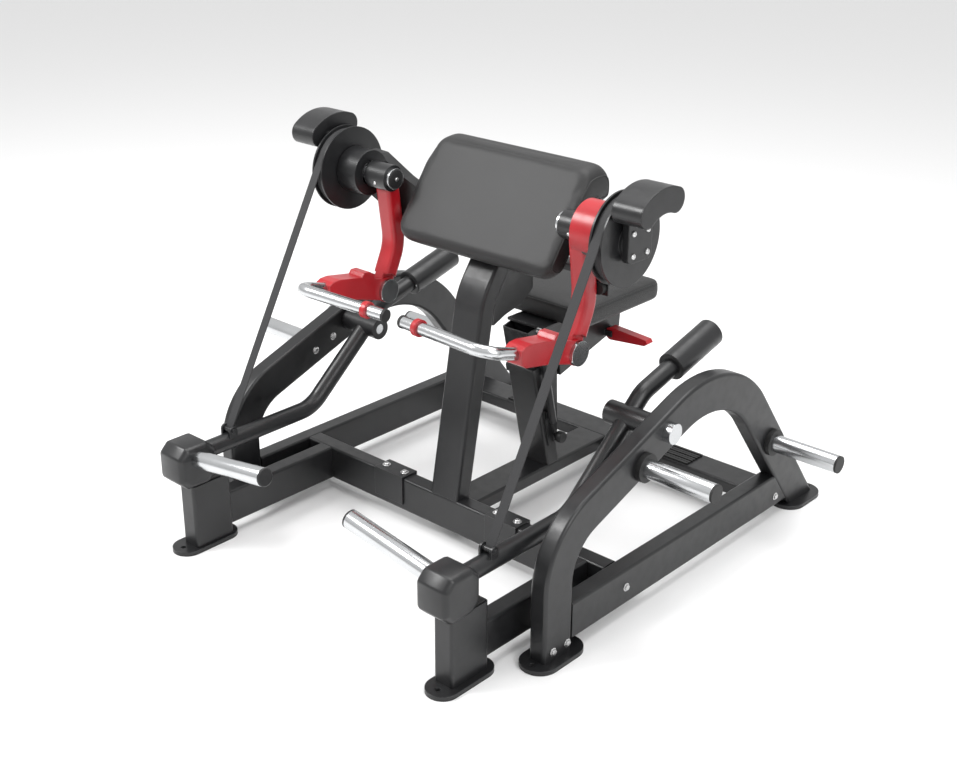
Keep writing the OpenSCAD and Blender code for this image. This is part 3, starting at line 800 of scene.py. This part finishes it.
def post_gusset():
    """Folded plate behind the main post, under the arm pad."""
    corners = [(-75, 606, 8), (-20, 628, 30), (46, 642, 30), (90, 674, 12), (90, 790, 12),
               (56, 838, 12), (-47, 770, 8)]
    outline = rounded(corners)
    verts = []
    rows = [(-0.0485, 0.004), (-0.0497, 0.0012), (-0.0499, 0), (0.0499, 0), (0.0497, 0.0012),
            (0.0485, 0.004)]
    for x, draw in rows:
        verts += [Vector((x, p.x * MM, p.y * MM)) for p in inset(outline, draw * 1000)]
    mesh_piece("post_gusset", verts, skin(len(rows), len(outline)), CHARCOAL, "frame",
               "frame_paint")


def plugs():
    """A moulded plug and a small bolt in the lower face of each counterbalance."""
    for label, s in SIDES:
        tilt = math.radians(15)
        axis = Vector((0, -math.cos(tilt), -math.sin(tilt)))
        face = Vector((s * 0.475, 0.144, 0.5479))
        ring = lathe([(0.036, 0), (0.036, 0.0012), (0.0335, 0.002), (0.025, 0.0021)], face, axis, 64)
        mesh_piece(label + "_counterbalance_face", *ring, PLASTIC, label + "_weight", "rubber")
        place = face + Vector((-s * 0.03, 0, 0)) + axis * 0.002
        mesh_piece(label + "_counterbalance_bolt", *bolt(place, axis, 3 * MM, False), ZINC,
                   label + "_weight", "chrome")


fasteners()
end_caps()
hubs()
chrome_tubes()
seat_details()
post_gusset()
plugs()


# ---- camera, floor and light ---------------------------------------------------------------------------

def camera():
    azimuth, elevation, roll = math.radians(42.25), math.radians(23.64), math.radians(0.27)
    back = Vector((math.sin(azimuth) * math.cos(elevation),
                   -math.cos(azimuth) * math.cos(elevation), math.sin(elevation)))
    right = Vector((math.cos(azimuth), math.sin(azimuth), 0))
    up = back.cross(right)
    right, up = (right * math.cos(roll) + up * math.sin(roll),
                 up * math.cos(roll) - right * math.sin(roll))
    data = bpy.data.cameras.new("camera")
    data.lens = 53.45
    data.sensor_width = 36
    data.clip_end = 100
    made = bpy.data.objects.new("camera", data)
    place = Matrix((right, up, back)).transposed().to_4x4()
    place.translation = Vector((2.378, -2.689, 1.9655))
    made.matrix_world = place
    scene.collection.objects.link(made)
    scene.camera = made


def floor():
    data = bpy.data.meshes.new("floor")
    size = 40
    data.from_pydata([(-size, -size, 0), (size, -size, 0), (size, size, 0), (-size, size, 0)], [],
                     [(0, 1, 2, 3)])
    made = bpy.data.objects.new("floor", data)
    scene.collection.objects.link(made)
    material, _, shader, _ = start("pale_floor")
    shader.inputs["Base Color"].default_value = (0.86, 0.86, 0.86, 1)
    shader.inputs["Roughness"].default_value = 0.75
    data.materials.append(material)


def light(name, at, aim, size, power):
    data = bpy.data.lights.new(name, "AREA")
    data.shape = "RECTANGLE"
    data.size, data.size_y = size
    data.energy = power
    made = bpy.data.objects.new(name, data)
    made.location = at
    made.rotation_euler = (Vector(aim) - Vector(at)).to_track_quat("-Z", "Y").to_euler()
    scene.collection.objects.link(made)


def sky():
    world = bpy.data.worlds.new("studio")
    scene.world = world
    world.use_nodes = True
    tree = world.node_tree
    background = tree.nodes["Background"]
    coords = tree.nodes.new("ShaderNodeTexCoord").outputs["Generated"]
    split = tree.nodes.new("ShaderNodeSeparateXYZ")
    tree.links.new(coords, split.inputs[0])
    shade = ramp(tree, split.outputs["Z"], 0.0, 0.5, 0.72, 0.86)
    tree.links.new(shade, background.inputs["Strength"])
    background.inputs["Color"].default_value = (1, 1, 1, 1)


camera()
floor()
sky()
light("key", (-2.2, -2.6, 3.8), (0, -0.1, 0.5), (2.0, 1.4), 150)
light("fill", (3.6, -0.6, 2.6), (0, 0, 0.5), (1.6, 2.4), 60)
light("top", (0.2, 0.6, 4.2), (0, 0, 0.4), (3.0, 3.0), 110)
scene.view_settings.view_transform = "Standard"
scene.view_settings.look = "None"
